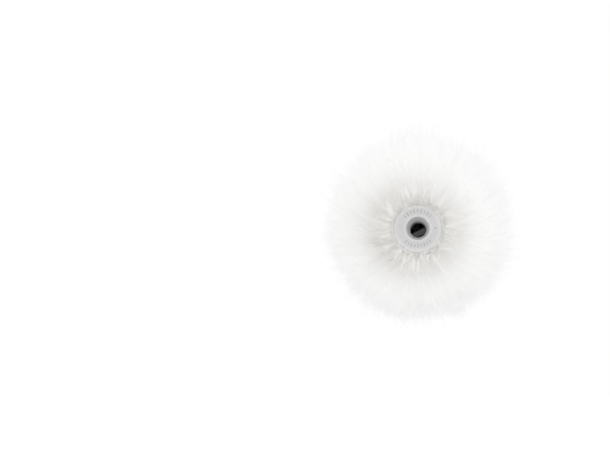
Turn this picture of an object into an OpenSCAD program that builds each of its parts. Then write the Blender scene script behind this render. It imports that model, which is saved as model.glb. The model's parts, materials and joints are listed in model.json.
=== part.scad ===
// Furry windscreen for a small microphone: a gored fur cover on a foam-lined cage,
// carried on the microphone by a silicone mount that plugs into the cage's neck.
// Each module is drawn on the bench, with the axis along +Z and the mount's face down,
// and is laid over into the part's frame, where the axis is +Y and the mount faces -Y.

/* [Silicone mount] */
// Diameter of the bore that grips the microphone
bore_d = 5; // [4:0.1:5.6]
// Length of the gripping bore
bore_len = 5; // [4:0.5:5.5]
// Diameter of the lead-in at the mount's face
mouth_d = 7.2; // [6.8:0.1:8]
// Depth of the lead-in, from the face to the gripping bore
lead_in = 2.6; // [2:0.1:3]
// Diameter of the flange
flange_d = 14.6; // [14.2:0.1:15.2]
// Thickness of the flange
flange_t = 2.4; // [2.2:0.1:2.6]
// Radius of the flange's front edge
edge_r = 0.9; // [0.4:0.1:1.2]
// Diameter of the plug that fits the neck
plug_d = 9.6; // [9:0.1:9.8]
// Length of the plug behind the flange
plug_len = 7.4; // [6.6:0.1:7.6]

/* [Cage] */
// Outer diameter of the cage
cage_d = 26.6; // [25.6:0.2:27.4]
// Thickness of the cage's ribs and rims
cage_wall = 1.4; // [1:0.1:1.6]
// Number of ribs in each half
rib_count = 8; // [6:2:10]
// Width of a rib
rib_w = 1.6; // [1.2:0.1:2]
// Width of the bar that stops the microphone
stop_w = 1.7; // [1.4:0.1:2.4]
// Angle of the stop bar, seen from the mount's side
stop_angle = 26; // [-90:1:90]
// How far the stop bar sits below the axis
stop_drop = 0.2; // [0:0.1:0.6]

/* [Foam] */
// Thickness of the foam lining
foam_t = 1.9; // [1.2:0.1:2]

/* [Fur cover] */
// Diameter of the fur over its pile
fur_d = 61; // [57:1:64]
// Depth of the fur along the axis
fur_depth = 51.5; // [50.5:0.5:53]
// How far the pile stands in front of the mount's face
fur_proud = 1.5; // [0.5:0.1:2]
// Radius of the pile where the dome turns into the base
fur_corner_r = 17; // [13:0.5:19]
// Width of the open funnel in the pile at the mount
funnel_d = 25; // [22:0.5:28]
// Diameter of the sewing thread in the seams
thread_d = 0.6; // [0.4:0.1:0.7]
// Diameter of the drawcord in the hem
cord_d = 1.2; // [0.8:0.1:1.3]

/* [Hidden] */
$fn = 96;

// Clearances: pieces that slide, pieces that only sit beside each other, and overshoot of a cut
slide_gap = 0.05;
rest_gap = 0.1;
soft_gap = 0.3;
past = 1;

// Heights along the axis, from the outer end of the gripping bore
face_z = -lead_in;
flange_back_z = face_z + flange_t;
plug_end_z = flange_back_z + plug_len;
eyelet_rim_z = flange_back_z + 2 * rest_gap;
eyelet_rim_t = 0.8;
hem_z = eyelet_rim_z + eyelet_rim_t + slide_gap;
hem_t = 0.85;
plate_z = hem_z + hem_t + rest_gap;
plate_t = 1.4;
socket_len = 5;
socket_end_z = plate_z + socket_len;
stop_gap = 1.1;
stop_z = socket_end_z + stop_gap;
stop_t = 1.2;
fur_base_z = face_z - fur_proud;
ball_z = fur_base_z + fur_depth - fur_d / 2;
crown_z = fur_base_z + fur_depth;

// Radii about the axis
flange_r = flange_d / 2;
eyelet_r = plug_d / 2 + slide_gap;
eyelet_wall = 0.95;
neck_r = eyelet_r + eyelet_wall;
rim_inset = 0.5;
eyelet_rim_r = flange_r - rim_inset;
eyelet_lip = 0.35;
socket_r = neck_r + slide_gap;
socket_wall = 1.35;
plate_w = 3.15;
plate_r = socket_r + plate_w;
cage_r = cage_d / 2;
foam_inner_r = cage_r + soft_gap;
foam_r = foam_inner_r + foam_t;
backing_r = foam_r + soft_gap;
fur_r = fur_d / 2;
hub_r = 2.6;
flare_rise = 1.1;
flare_r = bore_d / 2 + flare_rise;

// Tongue and groove that join the two halves of the cage
tongue_t = 0.4;
tongue_h = 0.7;

// Seams of the cover
panel_count = 4;
panel_angle = 360 / panel_count;
first_seam = 45;
seam_r = backing_r + thread_d / 2;
seam_start = 48;
seam_end = 174;
cord_offset = 1;
cord_r = plate_r + cord_offset;
cord_z = plate_z + plate_t / 2;

// Lays a piece drawn on the bench over into the part's frame
module to_frame() {
  rotate([-90, 0, 0]) children();
}

// Points of an arc from one angle to another
function arc(centre, r, from, to, steps) = [
  for (i = [0:steps])
    let (a = from + (to - from) * i / steps)
      centre + r * [cos(a), sin(a)]
];

// Ring of rectangular section between two radii and two heights
module ring(inner_r, outer_r, low, high) {
  rotate_extrude()
    translate([inner_r, low])
      square([outer_r - inner_r, high - low]);
}

// Half section of a ball about the cage's centre
module disc_section(r) {
  intersection() {
    translate([0, ball_z]) circle(r);
    translate([0, ball_z - 2 * r]) square([2 * r, 4 * r]);
  }
}

// Flanged grommet with a tapered lead-in, a gripping bore and a flared inner end
module silicone_mount() {
  flange_steps = 8;
  color("gainsboro") to_frame() difference() {
    union() {
      rotate_extrude()
        polygon(concat(
          [[0, flange_back_z], [0, face_z]],
          arc([flange_r - edge_r, face_z + edge_r], edge_r, -90, 0, flange_steps),
          [[flange_r, flange_back_z]]
        ));
      translate([0, 0, face_z + edge_r]) cylinder(d = plug_d, h = plug_end_z - face_z - edge_r);
    }
    translate([0, 0, -slide_gap]) cylinder(d = bore_d, h = bore_len + 2 * slide_gap);
    translate([0, 0, face_z]) cylinder(d1 = mouth_d, d2 = bore_d, h = lead_in);
    translate([0, 0, bore_len])
      cylinder(d1 = bore_d, r2 = flare_r, h = plug_end_z - bore_len);
  }
}

// Rigid tube through the hem: its rim clamps the hem and its lip snaps behind the socket
module neck_eyelet() {
  lip_z = socket_end_z + rest_gap;
  color("whitesmoke") to_frame() rotate_extrude()
    polygon([
      [eyelet_r, eyelet_rim_z],
      [eyelet_rim_r, eyelet_rim_z],
      [eyelet_rim_r, eyelet_rim_z + eyelet_rim_t],
      [neck_r, eyelet_rim_z + eyelet_rim_t],
      [neck_r, lip_z],
      [neck_r + eyelet_lip, lip_z],
      [neck_r, lip_z + 2 * eyelet_lip],
      [eyelet_r, lip_z + 2 * eyelet_lip]
    ]);
}

// One rib of the cage, as a flat band bent along a quarter of its outline
module cage_rib(inner_x, low, high) {
  rotate([90, 0, 0])
    translate([0, 0, -rib_w / 2])
      linear_extrude(rib_w)
        intersection() {
          difference() {
            translate([0, ball_z]) circle(cage_r);
            translate([0, ball_z]) circle(cage_r - cage_wall);
          }
          translate([inner_x, low]) square([cage_r, high - low]);
        }
}

module cage_ribs(inner_x, low, high) {
  for (i = [0:rib_count - 1])
    rotate(i * 360 / rib_count) cage_rib(inner_x, low, high);
}

// Bar across the inner end of the bore, on two posts of the socket
module stop_bar() {
  post_x = neck_r + eyelet_lip + rest_gap;
  bar_end = socket_r + socket_wall;
  rotate(-stop_angle) {
    translate([-bar_end, stop_drop - stop_w / 2, stop_z]) cube([2 * bar_end, stop_w, stop_t]);
    for (side = [0, 180])
      rotate(side)
        translate([post_x, -stop_w / 2 + (side == 0 ? stop_drop : -stop_drop), socket_end_z - stop_t])
          cube([bar_end - post_x, stop_w, stop_z + stop_t - (socket_end_z - stop_t)]);
  }
}

// Mount half of the cage: socket, clamp plate, ribs, stop bar and rim with a tongue
module cage_base() {
  tongue_r = cage_r - cage_wall / 2;
  color("dimgray") to_frame() {
    ring(socket_r, socket_r + socket_wall, plate_z, socket_end_z);
    ring(socket_r, plate_r, plate_z, plate_z + plate_t);
    stop_bar();
    cage_ribs(socket_r + socket_wall / 2, plate_z, ball_z - rest_gap);
    ring(cage_r - cage_wall, cage_r, ball_z - cage_wall, ball_z);
    ring(tongue_r - tongue_t / 2, tongue_r + tongue_t / 2, ball_z - rest_gap, ball_z + tongue_h);
  }
}

// Crown half of the cage: ribs, hub and rim with a groove
module cage_dome() {
  groove_r = cage_r - cage_wall / 2;
  groove_w = tongue_t + 2 * slide_gap;
  hub_z = ball_z + cage_r - cage_wall - rest_gap;
  color("dimgray") to_frame() difference() {
    union() {
      cage_ribs(hub_r / 2, ball_z + rest_gap, crown_z);
      ring(cage_r - cage_wall, cage_r, ball_z + slide_gap, ball_z + 2 * cage_wall);
      translate([0, 0, hub_z]) cylinder(r = hub_r, h = cage_wall + rest_gap);
    }
    ring(groove_r - groove_w / 2, groove_r + groove_w / 2, ball_z - past, ball_z + tongue_h + rest_gap);
  }
}

// Open-cell foam cup round the mount half of the cage
module foam_base() {
  mouth_r = plate_r + 2 * soft_gap;
  color("black") to_frame() rotate_extrude()
    intersection() {
      difference() {
        disc_section(foam_r);
        disc_section(foam_inner_r);
      }
      translate([mouth_r, ball_z - foam_r]) square([foam_r, foam_r]);
    }
}

// Open-cell foam cup over the crown half of the cage
module foam_dome() {
  color("black") to_frame() rotate_extrude()
    intersection() {
      difference() {
        disc_section(foam_r);
        disc_section(foam_inner_r);
      }
      translate([0, ball_z]) square([foam_r, foam_r]);
    }
}

// Half section of the pile: a dome that turns through a round corner into a flat base
module pile_outline() {
  dome_steps = 28;
  corner_steps = 12;
  corner_z = fur_base_z + fur_corner_r;
  corner_x = sqrt(pow(fur_r - fur_corner_r, 2) - pow(ball_z - corner_z, 2));
  tangent = atan2(corner_z - ball_z, corner_x);
  polygon(concat(
    [[0, fur_base_z]],
    arc([corner_x, corner_z], fur_corner_r, -90, tangent, corner_steps),
    arc([0, ball_z], fur_r, tangent, 90, dome_steps)
  ));
}

// Half section of one panel, from its clamped hem to the crown
module panel_section() {
  flange_gap = 0.5;
  flange_gap_r = flange_r + flange_gap;
  funnel_z = flange_back_z + soft_gap;
  hem_r = neck_r + soft_gap;
  rim_gap_r = eyelet_rim_r + soft_gap;
  difference() {
    pile_outline();
    disc_section(backing_r);
    translate([0, hem_z + hem_t]) square([plate_r + soft_gap, ball_z - hem_z]);
    translate([0, fur_base_z - past]) square([hem_r, ball_z - fur_base_z]);
    translate([0, fur_base_z - past]) square([rim_gap_r, hem_z - fur_base_z + past]);
    polygon([
      [0, funnel_z],
      [flange_gap_r, funnel_z],
      [funnel_d / 2, fur_base_z],
      [funnel_d / 2, fur_base_z - past],
      [0, fur_base_z - past]
    ]);
  }
}

// Sewing thread along one seam, or the groove that holds it
module seam_line(angle, d) {
  rotate([0, 0, angle])
    translate([0, 0, ball_z])
      rotate([90, 0, 0])
        rotate([0, 0, seam_start - 90])
          rotate_extrude(angle = seam_end - seam_start)
            translate([seam_r, 0]) circle(d = d, $fn = 24);
}

// Drawcord round the neck, or the channel that holds it
module cord_ring(d) {
  rotate_extrude()
    translate([cord_r, cord_z]) circle(d = d, $fn = 24);
}

// One gore of the fur cover, with its pile, between two seams
module fur_panel(index) {
  start = first_seam + index * panel_angle;
  color("white") to_frame() difference() {
    rotate(start) rotate_extrude(angle = panel_angle) panel_section();
    for (side = [0, 1]) seam_line(start + side * panel_angle, thread_d + 2 * rest_gap);
    cord_ring(cord_d + 2 * rest_gap);
  }
}

// Sewing thread that closes the seam before one panel
module seam_thread(index) {
  color("ivory") to_frame() seam_line(first_seam + index * panel_angle, thread_d);
}

// Drawcord that gathers the hem under the clamp plate
module hem_drawcord() {
  color("ivory") to_frame() cord_ring(cord_d);
}

silicone_mount();
neck_eyelet();
cage_base();
cage_dome();
foam_base();
foam_dome();
fur_panel(0);  // fur_panel_1
fur_panel(1);  // fur_panel_2
fur_panel(2);  // fur_panel_3
fur_panel(3);  // fur_panel_4
seam_thread(0);  // seam_thread_1
seam_thread(1);  // seam_thread_2
seam_thread(2);  // seam_thread_3
seam_thread(3);  // seam_thread_4
hem_drawcord();
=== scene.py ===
# %% [markdown]
# # A furry windscreen for a small microphone
#
# The real object is a ball of white fur with a flat base. A grey silicone mount sits in the middle of
# the base and grips the microphone. Inside, a cage lined with foam keeps the fur off the microphone.
# This lesson loads the measured parts, gives them their finishes, and grows the fur strand by strand.

# %% Load the measured parts
import json
import math

import bpy
import numpy as np
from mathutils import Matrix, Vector
from mathutils.kdtree import KDTree


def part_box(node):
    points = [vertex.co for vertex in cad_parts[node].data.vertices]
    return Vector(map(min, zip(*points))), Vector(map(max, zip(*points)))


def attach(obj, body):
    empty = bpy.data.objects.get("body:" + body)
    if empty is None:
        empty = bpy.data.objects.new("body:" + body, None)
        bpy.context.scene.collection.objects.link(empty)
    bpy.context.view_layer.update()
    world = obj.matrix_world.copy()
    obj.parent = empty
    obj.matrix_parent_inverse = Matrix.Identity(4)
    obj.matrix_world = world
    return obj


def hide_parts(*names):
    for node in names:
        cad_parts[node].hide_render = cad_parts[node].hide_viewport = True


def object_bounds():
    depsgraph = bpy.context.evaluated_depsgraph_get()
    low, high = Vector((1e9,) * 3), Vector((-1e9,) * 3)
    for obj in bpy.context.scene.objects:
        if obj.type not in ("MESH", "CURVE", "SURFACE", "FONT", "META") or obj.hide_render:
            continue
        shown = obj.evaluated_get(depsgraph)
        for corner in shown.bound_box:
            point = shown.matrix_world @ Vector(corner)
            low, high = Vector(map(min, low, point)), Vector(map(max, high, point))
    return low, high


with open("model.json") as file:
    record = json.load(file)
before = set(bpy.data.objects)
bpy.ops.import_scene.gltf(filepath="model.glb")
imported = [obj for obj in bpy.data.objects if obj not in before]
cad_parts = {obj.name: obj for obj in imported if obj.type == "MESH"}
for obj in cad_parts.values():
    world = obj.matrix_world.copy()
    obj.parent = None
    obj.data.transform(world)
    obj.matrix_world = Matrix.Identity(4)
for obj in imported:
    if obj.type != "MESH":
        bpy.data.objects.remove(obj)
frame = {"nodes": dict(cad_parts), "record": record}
cad_low, cad_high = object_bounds()
MM = 0.001
print("CAD box in mm", [round(v / MM, 1) for v in (cad_high - cad_low)])

# %% [markdown]
# ## Sizes taken from the parts
#
# Every piece made here has to sit on the parts that carry it, so its sizes are read from their boxes
# and aren't typed in again. The axis of the windscreen is Y, and the mount faces -Y. A distance along
# the axis is called a depth here, and a distance from the axis a radius.

# %% Radii and depths
mount_low, mount_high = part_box("silicone_mount")
eyelet_low, eyelet_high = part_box("neck_eyelet")
foam_low, foam_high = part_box("foam_dome")
cage_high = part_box("cage_dome")[1]

bore = frame["record"]["mounts"][0]["dims"]
bore_radius = bore["r_mm"] * MM
bore_length = bore["length_mm"] * MM

flange_radius = mount_high.x
face_depth = mount_low.y
plug_end_depth = mount_high.y
flange_gap = 0.2 * MM
flange_back_depth = eyelet_low.y - flange_gap

foam_radius = foam_high.x
foam_gap = 0.3 * MM
foam_inner_radius = cage_high.x + foam_gap
foam_mouth_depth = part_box("foam_base")[0].y
ball_depth = foam_low.y
backing_gap = 0.4 * MM
backing_radius = foam_radius + backing_gap
pile_radius = cad_high.x
pile_base_depth = cad_low.y
print(f"flange radius {flange_radius / MM:.2f} mm, face at {face_depth / MM:.2f} mm")
print(f"ball centre at {ball_depth / MM:.2f} mm, pile radius {pile_radius / MM:.2f} mm")

# %% [markdown]
# ## Helpers
#
# A few habits repeat in every step: starting with nothing selected, putting a new piece on its body,
# and wiring a material's nodes. Each is written once here, so that the steps stay short.

# %% Start clean, join a body
def start_clean():
    if bpy.context.object and bpy.context.object.mode != "OBJECT":
        bpy.ops.object.mode_set(mode="OBJECT")
    bpy.ops.object.select_all(action="DESELECT")


def settle(piece, name, body, material):
    piece.name = name
    piece.data.name = name
    piece.data.materials.clear()
    piece.data.materials.append(material)
    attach(piece, body)
    print(f"{name}: {len(piece.data.polygons)} faces, on {body}")
    return piece


# %% Wire a material's nodes
def new_material(name):
    material = bpy.data.materials.new(name)
    material.use_nodes = True
    nodes, links = material.node_tree.nodes, material.node_tree.links
    print("finish:", name)
    return material, nodes, links, nodes["Principled BSDF"]


def grey(level):
    return (level, level, level)


def colour_ramp(nodes, stops):
    ramp = nodes.new("ShaderNodeValToRGB")
    elements = ramp.color_ramp.elements
    while len(elements) < len(stops):
        elements.new(0.5)
    for element, (position, colour) in zip(elements, stops):
        element.position = position
        element.color = (*colour, 1)
    return ramp


def noise(nodes, links, scale, detail=3):
    texture = nodes.new("ShaderNodeTexNoise")
    texture.inputs["Scale"].default_value = scale
    texture.inputs["Detail"].default_value = detail
    links.new(nodes.new("ShaderNodeTexCoord").outputs["Object"], texture.inputs["Vector"])
    return texture


def multiply_colour(nodes, links, one, other):
    mix = nodes.new("ShaderNodeMix")
    mix.data_type = "RGBA"
    mix.blend_type = "MULTIPLY"
    mix.inputs["Factor"].default_value = 1
    links.new(one, mix.inputs["A"])
    links.new(other, mix.inputs["B"])
    return mix.outputs["Result"]


def bump(nodes, links, height, shader, strength, distance):
    node = nodes.new("ShaderNodeBump")
    node.inputs["Strength"].default_value = strength
    node.inputs["Distance"].default_value = distance
    links.new(height, node.inputs["Height"])
    links.new(node.outputs["Normal"], shader.inputs["Normal"])


# %% [markdown]
# ## The camera
#
# The view looks at the mount almost along its axis, from slightly below and to the right, so the
# bore shows a little more of its upper wall. A long lens from about a third of a metre keeps the ball
# round. The mount sits right of the picture's middle, so the camera is turned and not shifted.

# %% Place the camera
IMAGE_WIDTH = 610
image_centre = (305, 225)
ring_pixel = (417.7, 229.75)
mm_per_pixel = 0.305
camera_distance = 360 * MM
camera_azimuth = math.radians(2)
camera_elevation = math.radians(-7.5)

ring_centre = Vector((0, face_depth, 0))
back = Vector((
    math.sin(camera_azimuth) * math.cos(camera_elevation),
    -math.cos(camera_azimuth) * math.cos(camera_elevation),
    math.sin(camera_elevation),
))
across = Vector((0, 0, 1)).cross(back).normalized()
upward = back.cross(across)

camera_data = bpy.data.cameras.new("camera")
camera = bpy.data.objects.new("camera", camera_data)
bpy.context.scene.collection.objects.link(camera)
bpy.context.scene.camera = camera
camera_data.lens = camera_distance / (mm_per_pixel * MM * IMAGE_WIDTH) * camera_data.sensor_width
camera_data.clip_start = 10 * MM
right_of_ring = (image_centre[0] - ring_pixel[0]) * mm_per_pixel * MM
above_ring = (ring_pixel[1] - image_centre[1]) * mm_per_pixel * MM
aim = ring_centre + across * right_of_ring + upward * above_ring
camera.location = ring_centre + back * camera_distance
camera.rotation_mode = "QUATERNION"
camera.rotation_quaternion = (aim - camera.location).to_track_quat("-Z", "Y")
print(f"lens {camera_data.lens:.1f} mm, camera at {[round(v / MM) for v in camera.location]} mm")

# %% [markdown]
# ## Finishes of the hard parts
#
# Moulded silicone is satin and slightly cloudy. Its colour also holds painted light by radius: painted
# shade down the bore, a painted highlight at the lip of its mouth, and painted light at its rounded rim.
# The cage is a grey plastic with a fine spark texture from its mould, the eyelet a pale plastic, and the
# thread is twisted. A flat colour would look like a toy, so noise at two scales drives colour, roughness
# and bump. The painted shade and highlights follow the distance from the axis, through a colour ramp.

# %% Silicone
def silicone(lip_radius):
    material, nodes, links, shader = new_material("satin_silicone")
    cloud = noise(nodes, links, scale=260, detail=4)
    ramp = colour_ramp(nodes, [(0.3, (0.81, 0.81, 0.807)), (0.7, (0.86, 0.86, 0.856))])
    links.new(cloud.outputs["Fac"], ramp.inputs["Fac"])

    flatten = nodes.new("ShaderNodeVectorMath")
    flatten.operation = "MULTIPLY"
    flatten.inputs[1].default_value = (1, 0, 1)
    links.new(nodes.new("ShaderNodeTexCoord").outputs["Object"], flatten.inputs[0])
    radius = nodes.new("ShaderNodeVectorMath")
    radius.operation = "LENGTH"
    links.new(flatten.outputs["Vector"], radius.inputs[0])
    span = nodes.new("ShaderNodeMapRange")
    span.inputs["From Max"].default_value = 2 * lip_radius
    links.new(radius.outputs["Value"], span.inputs["Value"])
    # Painted light and shade by radius: darker down the bore (painted shade), paler at the lip and bead
    # (painted highlight), and paler again towards the rounded rim (painted light).
    painted_light_by_radius = colour_ramp(nodes, [
        (0.46, grey(0.64)), (0.51, grey(0.80)), (0.56, grey(0.80)), (0.62, grey(0.75)),
        (0.80, grey(0.75)), (0.87, grey(0.78)), (0.93, grey(0.86)), (1.0, grey(1)),
    ])
    links.new(span.outputs["Result"], painted_light_by_radius.inputs["Fac"])
    colour = multiply_colour(nodes, links, ramp.outputs["Color"], painted_light_by_radius.outputs["Color"])
    links.new(colour, shader.inputs["Base Color"])

    grain = noise(nodes, links, scale=2600, detail=2)
    rough = colour_ramp(nodes, [(0.3, grey(0.46)), (0.7, grey(0.58))])
    links.new(grain.outputs["Fac"], rough.inputs["Fac"])
    links.new(rough.outputs["Color"], shader.inputs["Roughness"])
    bump(nodes, links, grain.outputs["Fac"], shader, strength=0.25, distance=0.03 * MM)
    return material


# %% Plastic and thread
def moulded_plastic(name, dark, light, grain_scale, roughness):
    material, nodes, links, shader = new_material(name)
    cloud = noise(nodes, links, scale=180)
    ramp = colour_ramp(nodes, [(0.3, dark), (0.7, light)])
    links.new(cloud.outputs["Fac"], ramp.inputs["Fac"])
    links.new(ramp.outputs["Color"], shader.inputs["Base Color"])
    grain = noise(nodes, links, scale=grain_scale, detail=2)
    bump(nodes, links, grain.outputs["Fac"], shader, strength=0.35, distance=0.04 * MM)
    shader.inputs["Roughness"].default_value = roughness
    return material


def twisted_thread():
    material, nodes, links, shader = new_material("twisted_thread")
    twist = nodes.new("ShaderNodeTexWave")
    twist.bands_direction = "DIAGONAL"
    twist.inputs["Scale"].default_value = 900
    twist.inputs["Distortion"].default_value = 1.5
    links.new(nodes.new("ShaderNodeTexCoord").outputs["Object"], twist.inputs["Vector"])
    ramp = colour_ramp(nodes, [(0.2, (0.62, 0.60, 0.54)), (0.8, (0.82, 0.80, 0.75))])
    links.new(twist.outputs["Fac"], ramp.inputs["Fac"])
    links.new(ramp.outputs["Color"], shader.inputs["Base Color"])
    bump(nodes, links, twist.outputs["Fac"], shader, strength=0.5, distance=0.05 * MM)
    shader.inputs["Roughness"].default_value = 0.8
    return material


# %% Give the measured parts their finishes
mouth_radius = 3.6 * MM
silicone_finish = silicone(mouth_radius)
cage_finish = moulded_plastic(
    "cage_plastic", (0.33, 0.33, 0.335), (0.37, 0.37, 0.375), grain_scale=1800, roughness=0.55
)
eyelet_finish = moulded_plastic(
    "eyelet_plastic", (0.70, 0.68, 0.62), (0.76, 0.74, 0.68), grain_scale=1500, roughness=0.5
)
thread_finish = twisted_thread()

finishes = {
    "cage_base": cage_finish,
    "cage_dome": cage_finish,
    "neck_eyelet": eyelet_finish,
    "hem_drawcord": thread_finish,
}
finishes.update({f"seam_thread_{i}": thread_finish for i in range(1, 5)})
for node, finish in finishes.items():
    mesh = frame["nodes"][node].data
    mesh.materials.clear()
    mesh.materials.append(finish)
print("finished CAD nodes", sorted(finishes))

# %% [markdown]
# ## Drawing a line to turn
#
# The mount and the backing cloth are both turned shapes: half a section, swept round the axis as on a
# lathe. To draw that section by hand, shrink a plane to one point, move the point to the start of the
# line, and extrude it from corner to corner. The spin tool then sweeps the line round.

# %% Extrude a point along a line
def draw_line(points):
    """Leaves a new object in edit mode, with all of a line of (radius, depth) points selected."""
    start_clean()
    bpy.ops.mesh.primitive_plane_add(size=1, location=(0, 0, 0))
    bpy.ops.object.mode_set(mode="EDIT")
    bpy.ops.mesh.select_all(action="SELECT")
    bpy.ops.mesh.merge(type="CENTER")
    bpy.ops.transform.translate(value=(points[0].x, points[0].y, 0))
    for here, there in zip(points, points[1:]):
        step = there - here
        bpy.ops.mesh.extrude_vertices_move(TRANSFORM_OT_translate={"value": (step.x, step.y, 0)})
    bpy.ops.mesh.select_all(action="SELECT")
    return bpy.context.object


def spin_line(steps, sweep):
    bpy.ops.mesh.spin(steps=steps, angle=sweep, center=(0, 0, 0), axis=(0, 1, 0))
    bpy.ops.mesh.select_all(action="SELECT")
    bpy.ops.mesh.remove_doubles(threshold=0.001 * MM)
    bpy.ops.mesh.normals_make_consistent(inside=False)
    bpy.ops.object.mode_set(mode="OBJECT")
    bpy.ops.object.shade_smooth_by_angle(angle=math.radians(40))


# %% [markdown]
# ## The silicone mount
#
# The section keeps the measured bore, flange and plug, and rounds every edge by its own radius: soft
# silicone leaves the mould with a broad round at the mouth and the rim, and those rounds catch light.
# A low bead runs round the mouth, where the mould's core met its face.

# %% Round the corners of a section
def rounded(corners, steps):
    """A closed outline of (radius, depth, rounding) corners, with an arc in place of each corner."""
    points = []
    for i, (x, y, size) in enumerate(corners):
        corner = Vector((x, y))
        before = (Vector(corners[i - 1][:2]) - corner).normalized()
        after = (Vector(corners[(i + 1) % len(corners)][:2]) - corner).normalized()
        half = before.angle(after) / 2
        centre = corner + (before + after).normalized() * size / math.sin(half)
        start = corner + before * size / math.tan(half) - centre
        end = corner + after * size / math.tan(half) - centre
        points += [centre + start.slerp(end, step / steps) * size for step in range(steps + 1)]
    return points + points[:1]


# %% Turn the mount
plug_radius = 4.8 * MM
flare_radius = bore_radius + 1.1 * MM
bead_rise = 0.12 * MM
bead_top_radius = mouth_radius + 0.5 * MM
bead_foot_radius = mouth_radius + 0.75 * MM
mount_section = rounded([
    (mouth_radius, face_depth - bead_rise, 0.25 * MM),
    (bore_radius, 0, 0.25 * MM),
    (bore_radius, bore_length, 0.3 * MM),
    (flare_radius, plug_end_depth, 0.2 * MM),
    (plug_radius, plug_end_depth, 0.3 * MM),
    (plug_radius, flange_back_depth, 0.2 * MM),
    (flange_radius, flange_back_depth, 0.35 * MM),
    (flange_radius, face_depth, 1.2 * MM),
    (bead_foot_radius, face_depth, 0.3 * MM),
    (bead_top_radius, face_depth - bead_rise, 0.2 * MM),
], steps=6)
mount = draw_line(mount_section)
spin_line(steps=128, sweep=math.tau)
settle(mount, "silicone_grommet", "mount", silicone_finish)
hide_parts("silicone_mount")

# %% [markdown]
# ## Marks on the ring
#
# The ring carries two arcs of fine marks in relief, and one dot. They are plain strokes: one slim block
# for each, set round the axis and sunk into the face so that it stands a few hundredths proud, with its
# edges beveled. A shade of grey just under the ring's own makes them readable without calling out.

# %% Set strokes round the axis
mark_radius = 5.35 * MM
mark_proud = 0.04 * MM
stroke_lengths = (0.8 * MM, 1.2 * MM)
stroke_width = 0.3 * MM
dot_radius = 0.3 * MM
upper_step = 11.5
lower_step = 10.5
mark_angles = [90 + upper_step * k for k in range(-4, 5)] + [270 + lower_step * k for k in range(-4, 5)]


def mark_finish():
    material, nodes, links, shader = new_material("grey_mark")
    cloud = noise(nodes, links, scale=900)
    ramp = colour_ramp(nodes, [(0.3, grey(0.42)), (0.7, grey(0.47))])
    links.new(cloud.outputs["Fac"], ramp.inputs["Fac"])
    links.new(ramp.outputs["Color"], shader.inputs["Base Color"])
    shader.inputs["Roughness"].default_value = 0.6
    return material


def place_on_ring(degrees):
    turn = math.radians(degrees)
    return (mark_radius * math.cos(turn), face_depth, mark_radius * math.sin(turn))


start_clean()
strokes = []
for count, degrees in enumerate(mark_angles):
    bpy.ops.mesh.primitive_cube_add(
        size=1, location=place_on_ring(degrees), rotation=(0, -math.radians(degrees), 0),
        scale=(stroke_lengths[count % 2], 2 * mark_proud, stroke_width),
    )
    strokes.append(bpy.context.object)
bpy.ops.mesh.primitive_cylinder_add(
    vertices=24, radius=dot_radius, depth=2 * mark_proud, location=place_on_ring(0),
    rotation=(math.pi / 2, 0, 0),
)
marks = bpy.context.object
for stroke in strokes:
    stroke.select_set(True)
bpy.ops.object.join()
bpy.ops.object.transform_apply(location=True, rotation=True, scale=True)
soften = marks.modifiers.new("soften", "BEVEL")
soften.width = 0.015 * MM
soften.segments = 1
bpy.ops.object.modifier_apply(modifier="soften")
settle(marks, "ring_marks", "mount", mark_finish())

# %% [markdown]
# ## The foam lining
#
# Grey open-cell foam lines the cage in two cups. Only a glimpse of it shows through the bore, almost
# black because so little light gets in, but the cups come off with the ball, so they are modelled: a
# sphere is cut, given its thickness, and pitted by a cell pattern that pushes its surface in and out.

# %% Foam's finish
def open_cell_foam():
    material, nodes, links, shader = new_material("open_cell_foam")
    cells = nodes.new("ShaderNodeTexVoronoi")
    cells.inputs["Scale"].default_value = 1400
    links.new(nodes.new("ShaderNodeTexCoord").outputs["Object"], cells.inputs["Vector"])
    # Painted shade: the cells' centres, which the bump sinks into pores, are painted darker than the cell
    # walls.
    ramp = colour_ramp(nodes, [(0.1, (0.30, 0.30, 0.30)), (0.6, (0.66, 0.66, 0.665))])
    links.new(cells.outputs["Distance"], ramp.inputs["Fac"])
    links.new(ramp.outputs["Color"], shader.inputs["Base Color"])
    bump(nodes, links, cells.outputs["Distance"], shader, strength=0.9, distance=0.25 * MM)
    shader.inputs["Roughness"].default_value = 0.95
    return material


foam_finish = open_cell_foam()
PIT_SIZE = 0.9 * MM
PIT_DEPTH = 0.25 * MM
pits = bpy.data.textures.new("foam_pits", "VORONOI")
pits.noise_scale = PIT_SIZE

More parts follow.
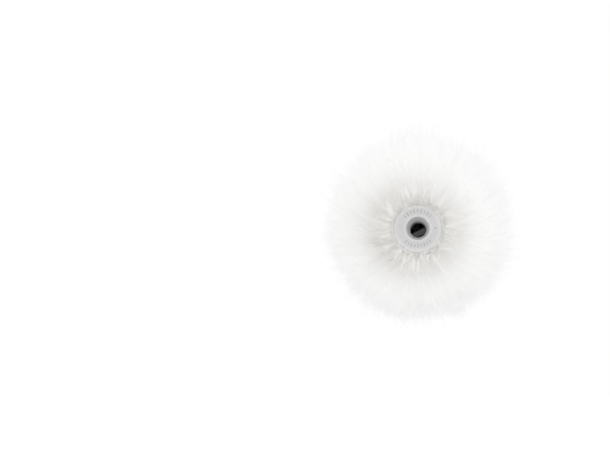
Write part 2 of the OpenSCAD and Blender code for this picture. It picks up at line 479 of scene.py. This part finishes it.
# %% Cut, thicken and pit the two cups
def foam_cup(name, node, keep_dome):
    start_clean()
    bpy.ops.mesh.primitive_uv_sphere_add(
        segments=96, ring_count=64, radius=foam_radius, location=(0, 0, 0), rotation=(math.pi / 2, 0, 0)
    )
    cup = bpy.context.object
    bpy.ops.object.transform_apply(location=True, rotation=True, scale=True)
    bpy.ops.object.mode_set(mode="EDIT")
    bpy.ops.mesh.select_all(action="SELECT")
    bpy.ops.transform.translate(value=(0, ball_depth, 0))
    bpy.ops.mesh.bisect(
        plane_co=(0, ball_depth, 0), plane_no=(0, 1, 0), clear_inner=keep_dome, clear_outer=not keep_dome
    )
    if not keep_dome:
        bpy.ops.mesh.select_all(action="SELECT")
        bpy.ops.mesh.bisect(plane_co=(0, foam_mouth_depth, 0), plane_no=(0, 1, 0), clear_inner=True)
    bpy.ops.object.mode_set(mode="OBJECT")
    wall = cup.modifiers.new("wall", "SOLIDIFY")
    wall.thickness = foam_radius - foam_inner_radius
    wall.offset = -1
    bpy.ops.object.modifier_apply(modifier="wall")
    pitted = cup.modifiers.new("pits", "DISPLACE")
    pitted.texture = pits
    pitted.texture_coords = "LOCAL"
    pitted.strength = PIT_DEPTH
    pitted.mid_level = 0.5
    bpy.ops.object.modifier_apply(modifier="pits")
    bpy.ops.object.shade_smooth()
    settle(cup, name, "ball", foam_finish)
    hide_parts(node)


foam_cup("foam_cup_dome", "foam_dome", True)
foam_cup("foam_cup_base", "foam_base", False)

# %% [markdown]
# ## The knitted backing
#
# Long-pile fur is a knitted cloth with fibres locked into its loops. The cover is four gores of that
# cloth, so each backing is a quarter of a turned section: the line from the hem to the crown is spun
# between two seams and given the cloth's thickness. At the neck the hem folds in behind the eyelet's
# rim, which clamps it, so no gap opens there when the mount is pulled out.

# %% Draw the line from hem to crown
eyelet_radius = eyelet_high.x
clamp_depth = eyelet_low.y + 1.3 * MM
hem_edge = Vector((eyelet_radius - 0.5 * MM, clamp_depth))
hem_fold = Vector((eyelet_radius + 0.25 * MM, clamp_depth))
hem_start = Vector((flange_radius + 0.35 * MM, flange_back_depth + 0.5 * MM))
neck_angle = math.radians(37)
crown_angle = math.radians(179.4)
PANELS = 4
seam_gap = math.radians(1.2)
cloth_thickness = 0.35 * MM


def on_backing(angle):
    """Point (radius, depth) of the backing's ball, by its angle from the mount's side."""
    return Vector((backing_radius * math.sin(angle), ball_depth - backing_radius * math.cos(angle)))


hem_end = on_backing(neck_angle)
backing_line = [hem_edge, hem_fold, hem_start, hem_start.lerp(hem_end, 0.5)]
backing_line += [on_backing(angle) for angle in np.linspace(neck_angle, crown_angle, 31)]
print("line from hem to crown:", len(backing_line), "points")


def seam_angle(index):
    """Angle about the axis, from +X towards +Z, where panel number index starts."""
    return -math.radians(45) - index * math.tau / PANELS


# %% The cloth's finish
def knitted_cloth():
    material, nodes, links, shader = new_material("knitted_backing")
    knit = noise(nodes, links, scale=1500, detail=2)
    ramp = colour_ramp(nodes, [(0.3, (0.95, 0.946, 0.935)), (0.7, (0.98, 0.977, 0.97))])
    links.new(knit.outputs["Fac"], ramp.inputs["Fac"])
    links.new(ramp.outputs["Color"], shader.inputs["Base Color"])
    bump(nodes, links, knit.outputs["Fac"], shader, strength=0.6, distance=0.1 * MM)
    shader.inputs["Roughness"].default_value = 0.95
    return material


cloth_finish = knitted_cloth()

# %% Spin the four gores
for index in range(PANELS):
    gore = draw_line(backing_line)
    start = seam_angle(index) - seam_gap
    bpy.ops.transform.rotate(value=start, orient_axis="Y", center_override=(0, 0, 0))
    spin_line(steps=24, sweep=-(math.tau / PANELS - 2 * seam_gap))
    cloth = gore.modifiers.new("cloth", "SOLIDIFY")
    cloth.thickness = cloth_thickness
    bpy.ops.object.modifier_apply(modifier="cloth")
    settle(gore, f"backing_{index + 1}", "ball", cloth_finish)
    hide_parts(f"fur_panel_{index + 1}")

# %% [markdown]
# ## One strand
#
# Fur is tens of thousands of the same thing, so one strand is modelled and copied. It is a thin
# three-sided cone, cut across so that it can bend, with its tip drawn to a point. Three sides are
# enough at this size, and keep each strand to two dozen faces.

# %% Model the strand
STRAND_CUTS = (0.3, 0.58, 0.82)
start_clean()
bpy.ops.mesh.primitive_cone_add(vertices=3, radius1=1, radius2=0.4, depth=1, location=(0, 0, 0.5))
strand = bpy.context.object
bpy.ops.object.transform_apply(location=True, rotation=True, scale=True)
bpy.ops.object.mode_set(mode="EDIT")
for cut in STRAND_CUTS:
    bpy.ops.mesh.select_all(action="SELECT")
    bpy.ops.mesh.bisect(plane_co=(0, 0, cut), plane_no=(0, 0, 1))
bpy.ops.mesh.select_all(action="DESELECT")
bpy.ops.object.mode_set(mode="OBJECT")
for vertex in strand.data.vertices:
    vertex.select = vertex.co.z > 0.99
bpy.ops.object.mode_set(mode="EDIT")
bpy.ops.mesh.merge(type="CENTER")
bpy.ops.mesh.select_all(action="SELECT")
bpy.ops.mesh.quads_convert_to_tris()
bpy.ops.object.mode_set(mode="OBJECT")
strand_points = np.array([v.co[:] for v in strand.data.vertices])
strand_faces = np.array([f.vertices[:] for f in strand.data.polygons])
bpy.data.objects.remove(strand)
strand_turn = np.round(np.arctan2(strand_points[:, 1], strand_points[:, 0]), 2)
strand_height = strand_points[:, 2]
strand_sharp = strand_turn[:, None] == strand_turn[None, :]
at_tip = strand_height > 0.99
at_root = strand_height < 0.01
strand_sharp |= at_tip[:, None] | at_tip[None, :]
strand_sharp |= at_root[:, None] & at_root[None, :]
print("strand:", len(strand_points), "points,", len(strand_faces), "faces")

# %% [markdown]
# ## How the fur lies
#
# Seen in half a section, each strand runs from a root on the backing to a tip on the outline of the
# pile. Both lines have three stretches: a collar that closes up to the flange, the base, and the dome.
# A place along them is one number, from 0 at the flange over 1 and 2, where the base and the dome
# begin, to 3 at the crown, and a root and a tip with the same number belong together. So on the dome the
# strands stand straight out, and round the mount they come from under the flange and fan outwards.

# %% Lines of roots and tips
corner_radius = 17 * MM
corner_depth = pile_base_depth + corner_radius
corner_reach = math.sqrt((pile_radius - corner_radius) ** 2 - (ball_depth - corner_depth) ** 2)
dome_start = math.atan2(corner_depth - ball_depth, corner_reach)


def arc(centre, radius, start, end, steps):
    turn = np.linspace(start, end, steps)
    return np.column_stack([centre[0] + radius * np.cos(turn), centre[1] + radius * np.sin(turn)])


def join_stretches(stretches):
    """All stretches in one line, and the place of each of its points, one whole number per stretch."""
    places = []
    for start, line in enumerate(stretches):
        length = np.concatenate([[0], np.cumsum(np.linalg.norm(np.diff(line, axis=0), axis=1))])
        places.append(start + length / length[-1])
    return np.vstack(stretches), np.concatenate(places)


ball_middle = (0, ball_depth)
collar_tip = (flange_radius - 0.35 * MM, face_depth + 0.2 * MM)
collar_root = (flange_radius + 0.06 * MM, flange_back_depth + 0.3 * MM)
tips_line, tips_place = join_stretches([
    np.linspace(collar_tip, (corner_reach, pile_base_depth), 12),
    arc((corner_reach, corner_depth), corner_radius, -math.pi / 2, dome_start, 60),
    arc(ball_middle, pile_radius, dome_start, math.pi / 2, 120),
])
roots_line, roots_place = join_stretches([
    np.linspace(collar_root, hem_start, 4),
    np.vstack([
        np.linspace(hem_start, hem_end, 12)[:-1],
        arc(ball_middle, backing_radius, neck_angle - math.pi / 2, dome_start, 40),
    ]),
    arc(ball_middle, backing_radius, dome_start, math.pi / 2, 60),
])
print(f"flat base ends {corner_reach / MM:.1f} mm from the axis")

# %% Share of the outline's area up to each place
step_length = np.linalg.norm(np.diff(tips_line, axis=0), axis=1)
step_area = math.pi * (tips_line[1:, 0] + tips_line[:-1, 0]) * step_length
tips_share = np.concatenate([[0], np.cumsum(step_area)]) / step_area.sum()
print(f"pile's outer area {step_area.sum() * 1e4:.0f} square cm")

# %% [markdown]
# ## Growing a layer of fur
#
# A hair system would make the coat quickly, but its strands aren't meshes, so each strand is placed by
# a few short functions instead, from a list of habits that differs from layer to layer. A strand is a
# curve from its root through a bend to its tip. Neighbours lean the same way, and on the dome whole
# locks sweep sideways over each other. Tips are drawn to the strand that leads their tuft and share its
# curl, because matted fibres move as one lock. The fur is pressed flat a little below and stands
# fluffed above. Its colour holds painted shade: greyer round the mount, and further out on one side of it.

# %% Points about the axis
def turned(section, angle):
    """Points (radius, depth) turned about the axis, each by its own angle."""
    return np.column_stack([section[:, 0] * np.cos(angle), section[:, 1], section[:, 0] * np.sin(angle)])


def unit(vectors):
    return vectors / np.maximum(np.linalg.norm(vectors, axis=1), 1e-9)[:, None]


def along_line(place, line_place, line):
    return np.column_stack([np.interp(place, line_place, line[:, k]) for k in (0, 1)])


# %% Plant the roots
FUR_SEED = 31


def plant(index, count, layer, random):
    """Place, angle about the axis, root and outline point of every strand."""
    first, last = np.interp(layer["zone"], tips_place, tips_share)
    place = np.interp(first + (last - first) * random.random(count), tips_share, tips_place)
    angle = seam_angle(index) - random.random(count) * math.tau / PANELS
    root = turned(along_line(place, roots_place, roots_line), angle)
    tip = turned(along_line(place, tips_place, tips_line), angle)
    return place, angle, root, tip


def set_out(place, angle, root, layer):
    """The direction in which each strand leaves its root."""
    spoke = turned(np.tile([1.0, 0.0], (len(place), 1)), angle)
    fan = np.interp(place, [0, 1, 2], [0, layer["fan"], 0])[:, None]
    outward = unit(root - np.array([0, ball_depth, 0]))
    return unit(outward * (1 - fan) + spoke * fan)


# %% Drift of neighbouring strands
# Length and size of each wave.
WAVES_MM = [(21, 1.0), (12, 0.8), (6.5, 0.55)]


def drift(points):
    """A smooth wander of the tips, so that neighbouring strands lean together.

    The angles are free choices that keep the waves from running the same way.
    """
    waves = np.zeros_like(points)
    for k, (length, size) in enumerate(WAVES_MM):
        for axis in range(3):
            heading = np.array([
                math.cos(1.3 * k + 2.1 * axis),
                math.sin(0.7 * k + 1.7 * axis),
                math.cos(2.9 * k + 0.6 * axis),
            ])
            turn = math.tau * points @ heading / (length * MM)
            waves[:, axis] += size * np.sin(turn + 1 + 2.4 * axis + k)
    return waves


# %% Comb the tips: length, lean, sweep, fluff
SHORTEST = 0.3
FLUFF = np.array([-0.4, 0, 2.8]) * MM
RISE = np.array([0, 0, 1.5]) * MM
DOME_SWEEP = 5
# Each habit sets in between two places along the outline.
FULL_LENGTH_PLACES = (0.9, 1.4)
FLUFF_PLACES = (1.1, 1.9)
SWEEP_PLACES = (1.9, 2.4)


def comb(place, angle, root, tip, layer, random):
    """The point where every strand ends."""
    count = len(place)
    reach = np.clip(random.normal(layer["reach"], layer["spread"], count), SHORTEST, layer["longest"])
    reach *= np.interp(place, FULL_LENGTH_PLACES, [layer["near"], 1])
    end = root + (tip - root) * reach[:, None]
    wander = drift(end) * layer["lean"]
    line = unit(end - root)
    sideways = wander - line * np.sum(wander * line, axis=1)[:, None]
    end += wander + sideways * np.interp(place, SWEEP_PLACES, [0, DOME_SWEEP])[:, None]
    fluff = FLUFF + RISE * np.clip(np.sin(angle), 0, 1)[:, None]
    end += fluff * np.interp(place, FLUFF_PLACES, [0, 1])[:, None]
    end += random.normal(0, layer["stray"], (count, 3))
    return end


# %% Gather tips into tufts
PULL_PLACES = (1, 1.8)
PULL_SPREAD = 0.15
FULL_PULL = 0.95


def gather(ends, place, random, layer):
    """The strand that leads each strand's tuft, and how far each tip moves towards it."""
    tufts = max(2, len(ends) // layer["tuft"])
    tree = KDTree(tufts)
    for k in range(tufts):
        tree.insert(ends[k], k)
    tree.balance()
    nearest = np.array([tree.find(end)[1] for end in ends])
    pull = np.interp(place, PULL_PLACES, layer["pull"]) + random.normal(0, PULL_SPREAD, tufts)[nearest]
    move = (ends[nearest] - ends) * np.clip(pull, 0, FULL_PULL)[:, None]
    return nearest, move + random.normal(0, layer["scatter"], (tufts, 3))[nearest]


# %% Bend, curl and thicken the strands
WIDTH_RANGE = (0.8, 1.2)
TAPER_HEIGHTS = (0, 0.5, 1)
TAPER_WIDTHS = (1, 0.85, 0)


def bent(root, end, heading, tuft, layer):
    """Points along every strand, on a curve that is drawn towards its tuft."""
    t = strand_height[None, :, None]
    bend = root + heading * (np.linalg.norm(end - root, axis=1) * layer["bend"])[:, None]
    path = (1 - t) ** 2 * root[:, None] + 2 * t * (1 - t) * bend[:, None] + t**2 * end[:, None]
    return path + tuft[:, None] * t ** layer["clump"]


def curled(path, line, leader, layer, random):
    """The strands' points, waved to the side and set round each strand at its thickness."""
    count = len(line)
    sway = random.normal(0, 1, (count, 3))
    side = unit(np.cross(line, sway[leader] + layer["frizz"] * sway))
    other = np.cross(line, side)
    phase = random.random(count)
    phase = (phase[leader] + layer["frizz"] * phase)[:, None, None] * math.tau
    t = strand_height[None, :, None]
    path = path + side[:, None] * np.sin(t * math.tau * layer["curls"] + phase) * t * layer["curl"]

    taper = np.interp(strand_height, TAPER_HEIGHTS, TAPER_WIDTHS)
    thick = (layer["width"] * random.uniform(*WIDTH_RANGE, count))[:, None] * taper
    corner = unit(strand_points[:, :2])
    path = path + side[:, None] * (corner[:, 0] * thick)[:, :, None]
    return path + other[:, None] * (corner[:, 1] * thick)[:, :, None]


# %% Choose each strand's colour column
COLUMNS = 64
# Painted shade: on the -X side of the mount the greyer columns reach further out.
PAINTED_SHADE_SIDE = 0.25
SHADE_PLACES = (0, 1.5, 2)
SHADE_COLUMNS = (0, 0.75, 0.95)
SHADE_SPREAD = 0.05
LAST_SHADE = 0.999


def colour_columns(place, angle, layer, random):
    """The colour column of each strand: painted shade, greyer near the mount and on one side of it."""
    moved = place - PAINTED_SHADE_SIDE * np.clip(-np.cos(angle), 0, 1)
    shade = np.interp(moved, SHADE_PLACES, SHADE_COLUMNS) + random.normal(0, SHADE_SPREAD, len(place))
    shade = np.where(layer["tone"] > 0, layer["tone"], shade)
    return np.floor(np.clip(shade, 0, LAST_SHADE) * COLUMNS)


# %% Grow a layer
def grow(index, count, layer):
    """Points of every strand of a panel's layer, and the colour column of each strand."""
    random = np.random.default_rng(FUR_SEED + 10 * index + layer["seed"])
    place, angle, root, tip = plant(index, count, layer, random)
    end = comb(place, angle, root, tip, layer, random)
    leader, tuft = gather(end, place, random, layer)
    path = bent(root, end, set_out(place, angle, root, layer), tuft, layer)
    path = curled(path, unit(end - root), leader, layer, random)
    return path, colour_columns(place, angle, layer, random)


# %% [markdown]
# ## From strands to a mesh
#
# The strands of one panel's layer become one mesh. Its UV map runs from root to tip along V and gives
# each strand one of 64 columns along U, from the shaded fringe at the mount to the open coat, so that
# one small picture can colour every strand when it's baked. The long edges of a strand stay sharp:
# smoothed over three sides, the normals would turn away from the light and grey the white fur.

# %% Build the mesh of a panel's strands
COLUMN_MARGIN = 0.15
END_MARGIN = 0.01


def strands_to_piece(name, points, columns):
    count, corners = points.shape[:2]
    faces = (strand_faces[None] + (np.arange(count) * corners)[:, None, None]).reshape(-1, 3)
    mesh = bpy.data.meshes.new(name)
    mesh.vertices.add(count * corners)
    mesh.vertices.foreach_set("co", points.reshape(-1))
    mesh.loops.add(faces.size)
    mesh.loops.foreach_set("vertex_index", faces.reshape(-1).astype(np.int32))
    mesh.polygons.add(len(faces))
    mesh.polygons.foreach_set("loop_start", np.arange(0, faces.size, 3, dtype=np.int32))
    mesh.polygons.foreach_set("use_smooth", np.ones(len(faces), dtype=bool))
    mesh.update(calc_edges=True)
    ends = np.empty(2 * len(mesh.edges), dtype=np.int32)
    mesh.edges.foreach_get("vertices", ends)
    mesh.edges.foreach_set("use_edge_sharp", strand_sharp[tuple(ends.reshape(-1, 2).T % corners)])
    turn = (np.arctan2(strand_points[:, 1], strand_points[:, 0]) / math.tau) % 1
    uv = np.empty((count, corners, 2))
    uv[:, :, 0] = (columns[:, None] + COLUMN_MARGIN + (1 - 2 * COLUMN_MARGIN) * turn[None, :]) / COLUMNS
    uv[:, :, 1] = END_MARGIN + (1 - 2 * END_MARGIN) * strand_height[None, :]
    layer = mesh.uv_layers.new(name="OFBake")
    layer.data.foreach_set("uv", uv.reshape(-1, 2)[faces.reshape(-1)].reshape(-1))
    piece = bpy.data.objects.new(name, mesh)
    bpy.context.scene.collection.objects.link(piece)
    return piece


# %% [markdown]
# ## The fibres' colour
#
# White fur is bright because light passes from strand to strand many times before it leaves, so the
# fibres themselves have to be very pale: each bounce takes its share. Both ramps hold painted shade. One
# runs from warm white roots to pure white tips, so a parting, where roots show, is darker than the coat
# round it. The other runs along the columns: painted warm-grey shade round the mount and on one side of
# it, white in the open coat, and a last column of pale grey, painted shade for the wisps at the outline,
# which would vanish against a white room.

# %% Dye the fibres
def white_pile():
    material, nodes, links, shader = new_material("white_pile")
    place = nodes.new("ShaderNodeUVMap")
    place.uv_map = "OFBake"
    split = nodes.new("ShaderNodeSeparateXYZ")
    links.new(place.outputs["UV"], split.inputs["Vector"])
    # Painted shade: the roots, deep in the coat, are a little darker and warmer than the tips.
    along = colour_ramp(nodes, [
        (0.0, (0.996, 0.994, 0.989)), (0.25, (0.999, 0.999, 0.998)), (0.5, grey(1)),
    ])
    links.new(split.outputs["Y"], along.inputs["Fac"])
    # Painted shade by column: warm grey round the mount, darkest a little outside it, white in the open
    # coat, and a pale grey last column for the wisps.
    painted_shade_columns = colour_ramp(nodes, [
        (0.0, (0.977, 0.972, 0.961)), (0.1, (0.972, 0.966, 0.954)), (0.2, (0.956, 0.950, 0.937)),
        (0.41, (0.958, 0.955, 0.947)), (0.53, (0.984, 0.983, 0.980)), (0.73, grey(1)), (0.97, grey(1)),
        (0.985, grey(0.97)),
    ])
    links.new(split.outputs["X"], painted_shade_columns.inputs["Fac"])
    colour = multiply_colour(nodes, links, along.outputs["Color"], painted_shade_columns.outputs["Color"])
    links.new(colour, shader.inputs["Base Color"])
    shader.inputs["Roughness"].default_value = 0.75
    shader.inputs["Specular IOR Level"].default_value = 0.2
    return material


pile_finish = white_pile()

# %% [markdown]
# ## The layers of the coat
#
# Underfur fills the coat, and guard hair forms its surface. A fringe closes the ring round the mount,
# fine curls lie over the fringe, a collar hugs the flange's edge, and wisps stand out past the outline.
#
# Each layer lists its habits. Its zone is the stretch of places where it grows, and fan turns strands
# from standing out to lying flat. Reach is the length as a share of the way from root to outline, with
# its spread, its longest, and a factor near the mount. Lean is the drift shared with neighbours, stray
# is a strand's own. Tuft is the number of strands in a lock, pull how far tips are drawn to its leader
# on the base and on the dome, clump how late along the strand that happens, and scatter moves a whole
# lock. Bend, curls, curl and frizz shape the curve, and tone picks one colour column, or 0 for none.

# %% Habits of each layer
underfur = {
    "seed": 1, "zone": (0, 3), "fan": 0.62, "reach": 0.87, "spread": 0.08, "longest": 1.0, "near": 0.75,
    "lean": 0.3 * MM, "stray": 0.8 * MM, "tuft": 12, "pull": (0.3, 0.2), "clump": 1.6, "scatter": 0,
    "bend": 0.5, "curls": 1.6, "curl": 0.35 * MM, "frizz": 1, "width": 0.085 * MM, "tone": 0,
}
guard_hair = {
    "seed": 2, "zone": (0, 3), "fan": 0.62, "reach": 0.985, "spread": 0.03, "longest": 1.08, "near": 0.82,
    "lean": 0.4 * MM, "stray": 0.7 * MM, "tuft": 14, "pull": (0.35, 0.7), "clump": 3.2, "scatter": 0.4 * MM,
    "bend": 0.5, "curls": 0.7, "curl": 0.3 * MM, "frizz": 0.3, "width": 0.07 * MM, "tone": 0,
}
fringe = {
    "seed": 3, "zone": (0, 1.1), "fan": 0.5, "reach": 0.8, "spread": 0.1, "longest": 1.0, "near": 1,
    "lean": 0.4 * MM, "stray": 0.5 * MM, "tuft": 6, "pull": (0.4, 0.4), "clump": 1.2, "scatter": 0.4 * MM,
    "bend": 0.5, "curls": 1.2, "curl": 0.4 * MM, "frizz": 0.3, "width": 0.055 * MM, "tone": 0,
}
curls = {
    "seed": 6, "zone": (0.06, 1.0), "fan": 0.25, "reach": 1.13, "spread": 0.13, "longest": 1.5, "near": 1,
    "lean": 0.8 * MM, "stray": 0.4 * MM, "tuft": 4, "pull": (0.95, 0.95), "clump": 0.4, "scatter": 0.9 * MM,
    "bend": 0.75, "curls": 0.9, "curl": 0.7 * MM, "frizz": 0.04, "width": 0.042 * MM, "tone": 0.75,
}
collar = {
    "seed": 4, "zone": (0, 0.16), "fan": 0.1, "reach": 1.03, "spread": 0.08, "longest": 1.2, "near": 1,
    "lean": 0.08 * MM, "stray": 0.12 * MM, "tuft": 4, "pull": (0.6, 0.6), "clump": 1.3, "scatter": 0.15 * MM,
    "bend": 0.5, "curls": 0.8, "curl": 0.2 * MM, "frizz": 0.3, "width": 0.052 * MM, "tone": 0.75,
}
# The wisps' tone picks the last column, a pale grey that is painted shade.
wisps = {
    "seed": 5, "zone": (1.75, 3), "fan": 0.4, "reach": 1.1, "spread": 0.05, "longest": 1.22, "near": 1,
    "lean": 0.6 * MM, "stray": 0.6 * MM, "tuft": 6, "pull": (0.92, 0.92), "clump": 2.0, "scatter": 0.9 * MM,
    "bend": 0.5, "curls": 0.6, "curl": 0.5 * MM, "frizz": 0.15, "width": 0.068 * MM, "tone": 0.99,
}
layers = [
    ("underfur", 7000, underfur), ("guard_hair", 9000, guard_hair), ("fringe", 2000, fringe),
    ("curls", 400, curls), ("collar", 900, collar), ("wisps", 1500, wisps),
]
print("strands on each panel:", sum(entry[1] for entry in layers))

# %% Grow the layers on every panel
for index in range(PANELS):
    for label, count, layer in layers:
        points, columns = grow(index, count, layer)
        piece = strands_to_piece(f"{label}_{index + 1}", points, columns)
        settle(piece, f"{label}_{index + 1}", "ball", pile_finish)
        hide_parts(f"fur_panel_{index + 1}")

# %% [markdown]
# ## Floor and light
#
# The windscreen is shown as it sits on a microphone, so it stands clear above a white floor in a soft
# white room. The room is a little brighter to the right than to the left, as beside a large window,
# and one soft box adds to that side. Light has to pass through a hundred white strands and more before
# it leaves the coat, so the number of bounces goes up with it.

# %% Floor
pile_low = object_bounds()[0]
start_clean()
FLOOR_DROP = 50 * MM
FLOOR_SIZE = 6
FLOOR_GLOW = 0.25
bpy.ops.mesh.primitive_plane_add(size=FLOOR_SIZE, location=(0, 0, pile_low.z - FLOOR_DROP))
floor = bpy.context.object
floor.name = "floor"
floor_finish, nodes, links, shader = new_material("white_floor")
shader.inputs["Base Color"].default_value = (0.93, 0.93, 0.93, 1)
shader.inputs["Roughness"].default_value = 0.9
shader.inputs["Specular IOR Level"].default_value = 0.1
path = nodes.new("ShaderNodeLightPath")
glow = nodes.new("ShaderNodeMath")
glow.operation = "MULTIPLY"
glow.inputs[1].default_value = FLOOR_GLOW
links.new(path.outputs["Is Camera Ray"], glow.inputs[0])
shader.inputs["Emission Color"].default_value = (1, 1, 1, 1)
links.new(glow.outputs[0], shader.inputs["Emission Strength"])
floor.data.materials.append(floor_finish)
print(f"floor {(pile_low.z - FLOOR_DROP) / MM:.0f} mm from the axis")

# %% World
world = bpy.data.worlds.new("white_room")
bpy.context.scene.world = world
world.use_nodes = True
nodes, links = world.node_tree.nodes, world.node_tree.links
backdrop = nodes["Background"]
backdrop.inputs["Color"].default_value = (1, 1, 1, 1)
path = nodes.new("ShaderNodeLightPath")
seen = nodes.new("ShaderNodeMath")
seen.operation = "MAXIMUM"
links.new(path.outputs["Is Camera Ray"], seen.inputs[0])
links.new(path.outputs["Is Transmission Ray"], seen.inputs[1])
shown = nodes.new("ShaderNodeMath")
shown.operation = "MAXIMUM"
links.new(seen.outputs[0], shown.inputs[0])
links.new(path.outputs["Is Glossy Ray"], shown.inputs[1])

DIM_SIDE = 0.95
BRIGHT_SIDE = 1.07
WINDOW_DIRECTION = (0.95, 0, 0.3)
window = nodes.new("ShaderNodeVectorMath")
window.operation = "DOT_PRODUCT"
window.inputs[1].default_value = WINDOW_DIRECTION
links.new(nodes.new("ShaderNodeTexCoord").outputs["Generated"], window.inputs[0])
room = nodes.new("ShaderNodeMapRange")
room.inputs["From Min"].default_value = -1
room.inputs["From Max"].default_value = 1
room.inputs["To Min"].default_value = DIM_SIDE
room.inputs["To Max"].default_value = BRIGHT_SIDE
links.new(window.outputs["Value"], room.inputs["Value"])
level = nodes.new("ShaderNodeMix")
links.new(shown.outputs[0], level.inputs["Factor"])
links.new(room.outputs["Result"], level.inputs["A"])
level.inputs["B"].default_value = 1.0
links.new(level.outputs["Result"], backdrop.inputs["Strength"])
print("room's light from", DIM_SIDE, "to", BRIGHT_SIDE)

# %% Lamp, bounces and view
BOUNCES = 160
LAMP_PLACE = (0.35, 0.1, 0.6)
soft_box = bpy.data.lights.new("soft_box", "AREA")
soft_box.shape = "DISK"
soft_box.size = 0.6
soft_box.energy = 0.25
lamp = bpy.data.objects.new("soft_box", soft_box)
lamp.location = LAMP_PLACE
lamp.rotation_mode = "QUATERNION"
lamp.rotation_quaternion = (Vector((0, ball_depth, 0)) - lamp.location).to_track_quat("-Z", "Y")
bpy.context.scene.collection.objects.link(lamp)
bpy.context.scene.view_settings.view_transform = "Standard"
bpy.context.scene.cycles.max_bounces = BOUNCES
bpy.context.scene.cycles.diffuse_bounces = BOUNCES
print("soft box at", LAMP_PLACE, "m, bounces", BOUNCES)
